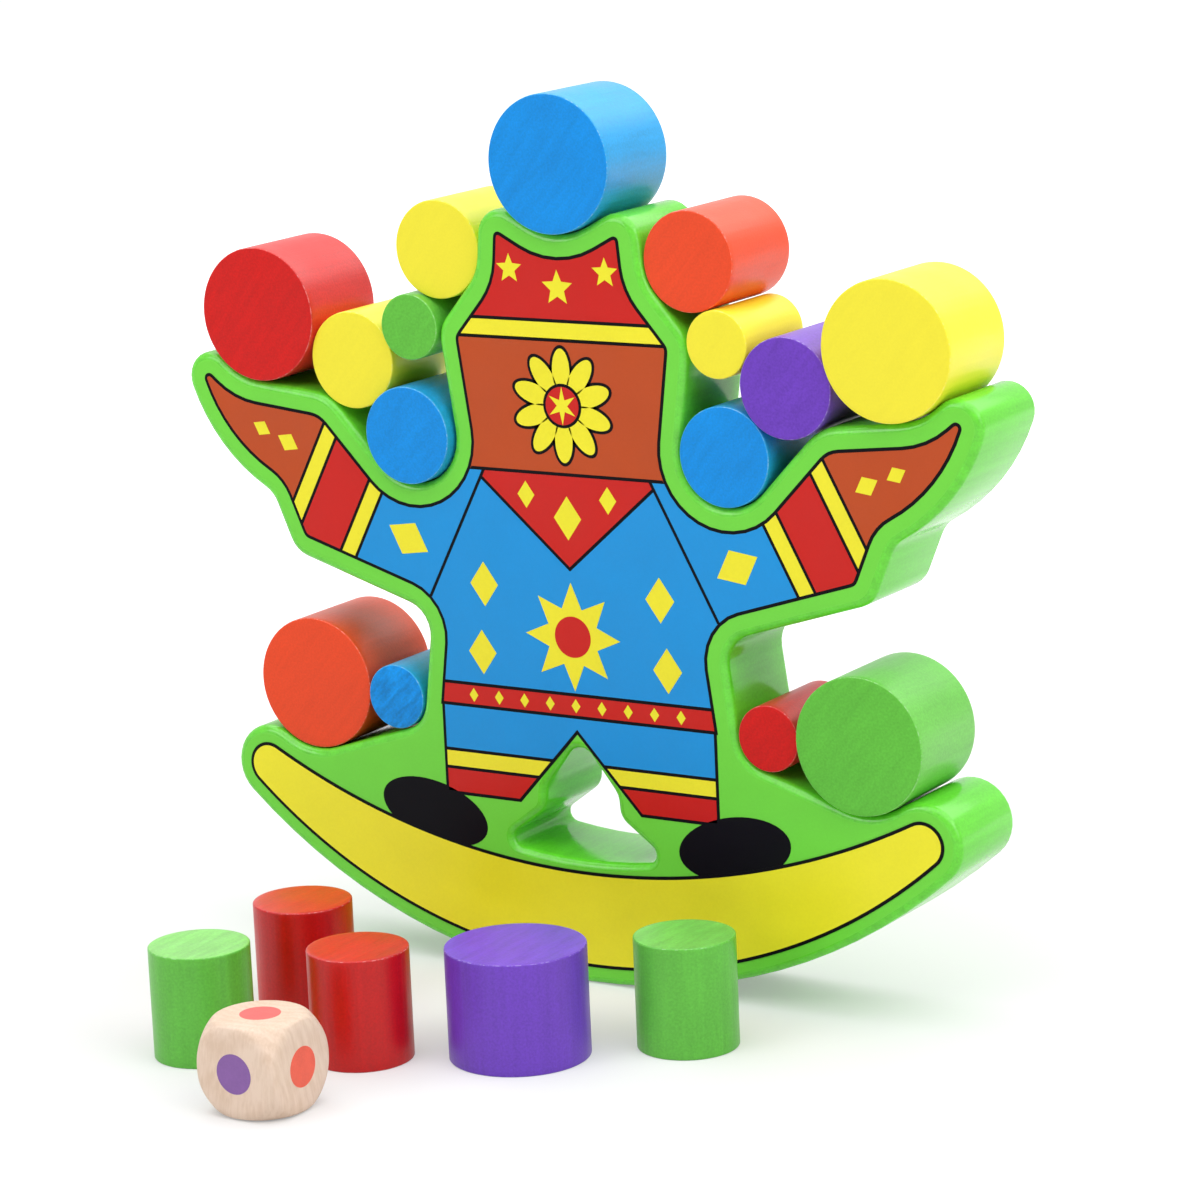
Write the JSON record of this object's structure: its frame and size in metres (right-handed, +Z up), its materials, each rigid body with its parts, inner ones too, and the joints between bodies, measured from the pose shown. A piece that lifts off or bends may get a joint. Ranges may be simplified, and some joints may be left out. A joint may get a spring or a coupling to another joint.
{
  "type": "wooden balance game",
  "caption": "Rocking figure board with curved seats, round painted blocks stacked along its arms, head and shelf, loose blocks beside it and a colour die.",
  "frame": {"origin": "middle of the whole set's footprint, on the table", "axes": "+Z up, -Y towards the players, +X to their right"},
  "size_m": [0.2414, 0.1604, 0.2355],
  "materials": {
    "board_green_paint": "glossy green enamel on sawn plank, printed face",
    "blue_paint": "satin blue enamel on a sawn dowel",
    "red_paint": "satin red enamel on a sawn dowel",
    "yellow_paint": "satin yellow enamel on a sawn dowel",
    "green_paint": "satin green enamel on a sawn dowel",
    "orange_paint": "satin orange enamel on a sawn dowel",
    "purple_paint": "satin purple enamel on a sawn dowel",
    "bare_wood": "sanded pale wood with painted dots"
  },
  "bodies": {
    "rocker": {"rocker_board": "board_green_paint"},
    "large_hand_left": {"large_block_hand_left": "red_paint"},
    "large_hand_right": {"large_block_hand_right": "yellow_paint"},
    "medium_elbow_left": {"medium_block_elbow_left": "yellow_paint"},
    "medium_elbow_right": {"medium_block_elbow_right": "purple_paint"},
    "medium_shoulder_left": {"medium_block_shoulder_left": "blue_paint"},
    "medium_shoulder_right": {"medium_block_shoulder_right": "blue_paint"},
    "small_neck_left": {"small_block_neck_left": "green_paint"},
    "small_neck_right": {"small_block_neck_right": "yellow_paint"},
    "medium_crown_left": {"medium_block_crown_left": "yellow_paint"},
    "medium_crown_right": {"medium_block_crown_right": "orange_paint"},
    "large_shelf_left": {"large_block_shelf_left": "orange_paint"},
    "large_shelf_right": {"large_block_shelf_right": "green_paint"},
    "small_waist_left": {"small_block_waist_left": "blue_paint"},
    "small_waist_right": {"small_block_waist_right": "red_paint"},
    "large_top": {"large_block_top": "blue_paint"},
    "table_block": {"loose_block_purple": "purple_paint"},
    "loose_green_left": {"loose_block_green_left": "green_paint"},
    "loose_red_back": {"loose_block_red_back": "red_paint"},
    "loose_red_front": {"loose_block_red_front": "red_paint"},
    "loose_green_right": {"loose_block_green_right": "green_paint"},
    "die": {"colour_die": "bare_wood"}
  },
  "joints": [
    {"name": "rock", "type": "hinge", "parent": "table_block", "child": "rocker", "pos_m": [0, 0.06373, 0.163], "axis": [0, 1, 0], "range_deg": [-12, 12]},
    {"name": "top_lift", "type": "slide", "parent": "rocker", "child": "large_top", "axis": [0, 0, 1], "range_m": [0, 0.05]},
    {"name": "hand_left_lift", "type": "slide", "parent": "rocker", "child": "large_hand_left", "axis": [0, 0, 1], "range_m": [0, 0.05]},
    {"name": "crown_left_lift", "type": "slide", "parent": "rocker", "child": "medium_crown_left", "axis": [0, 0, 1], "range_m": [0, 0.05]},
    {"name": "elbow_left_draw", "type": "slide", "parent": "rocker", "child": "medium_elbow_left", "axis": [0, -1, 0], "range_m": [0, 0.04]},
    {"name": "shoulder_left_draw", "type": "slide", "parent": "rocker", "child": "medium_shoulder_left", "axis": [0, -1, 0], "range_m": [0, 0.04]},
    {"name": "neck_left_draw", "type": "slide", "parent": "rocker", "child": "small_neck_left", "axis": [0, -1, 0], "range_m": [0, 0.04]},
    {"name": "shelf_left_roll_out", "type": "slide", "parent": "rocker", "child": "large_shelf_left", "axis": [-0.829, 0, 0.5592], "range_m": [0, 0.05]},
    {"name": "waist_left_push_out", "type": "slide", "parent": "rocker", "child": "small_waist_left", "axis": [0, 1, 0], "range_m": [0, 0.04]},
    {"name": "hand_right_lift", "type": "slide", "parent": "rocker", "child": "large_hand_right", "axis": [0, 0, 1], "range_m": [0, 0.05]},
    {"name": "crown_right_lift", "type": "slide", "parent": "rocker", "child": "medium_crown_right", "axis": [0, 0, 1], "range_m": [0, 0.05]},
    {"name": "elbow_right_draw", "type": "slide", "parent": "rocker", "child": "medium_elbow_right", "axis": [0, -1, 0], "range_m": [0, 0.04]},
    {"name": "shoulder_right_draw", "type": "slide", "parent": "rocker", "child": "medium_shoulder_right", "axis": [0, -1, 0], "range_m": [0, 0.04]},
    {"name": "neck_right_draw", "type": "slide", "parent": "rocker", "child": "small_neck_right", "axis": [0, -1, 0], "range_m": [0, 0.04]},
    {"name": "shelf_right_roll_out", "type": "slide", "parent": "rocker", "child": "large_shelf_right", "axis": [0.829, 0, 0.5592], "range_m": [0, 0.05]},
    {"name": "waist_right_push_out", "type": "slide", "parent": "rocker", "child": "small_waist_right", "axis": [0, 1, 0], "range_m": [0, 0.04]},
    {"name": "loose_green_left_lift", "type": "slide", "parent": "table_block", "child": "loose_green_left", "axis": [0, 0, 1], "range_m": [0, 0.06]},
    {"name": "loose_red_back_lift", "type": "slide", "parent": "table_block", "child": "loose_red_back", "axis": [0, 0, 1], "range_m": [0, 0.06]},
    {"name": "loose_red_front_lift", "type": "slide", "parent": "table_block", "child": "loose_red_front", "axis": [0, 0, 1], "range_m": [0, 0.06]},
    {"name": "loose_green_right_lift", "type": "slide", "parent": "table_block", "child": "loose_green_right", "axis": [0, 0, 1], "range_m": [0, 0.06]},
    {"name": "die_lift", "type": "slide", "parent": "table_block", "child": "die", "axis": [0, 0, 1], "range_m": [0, 0.06]}
  ]
}
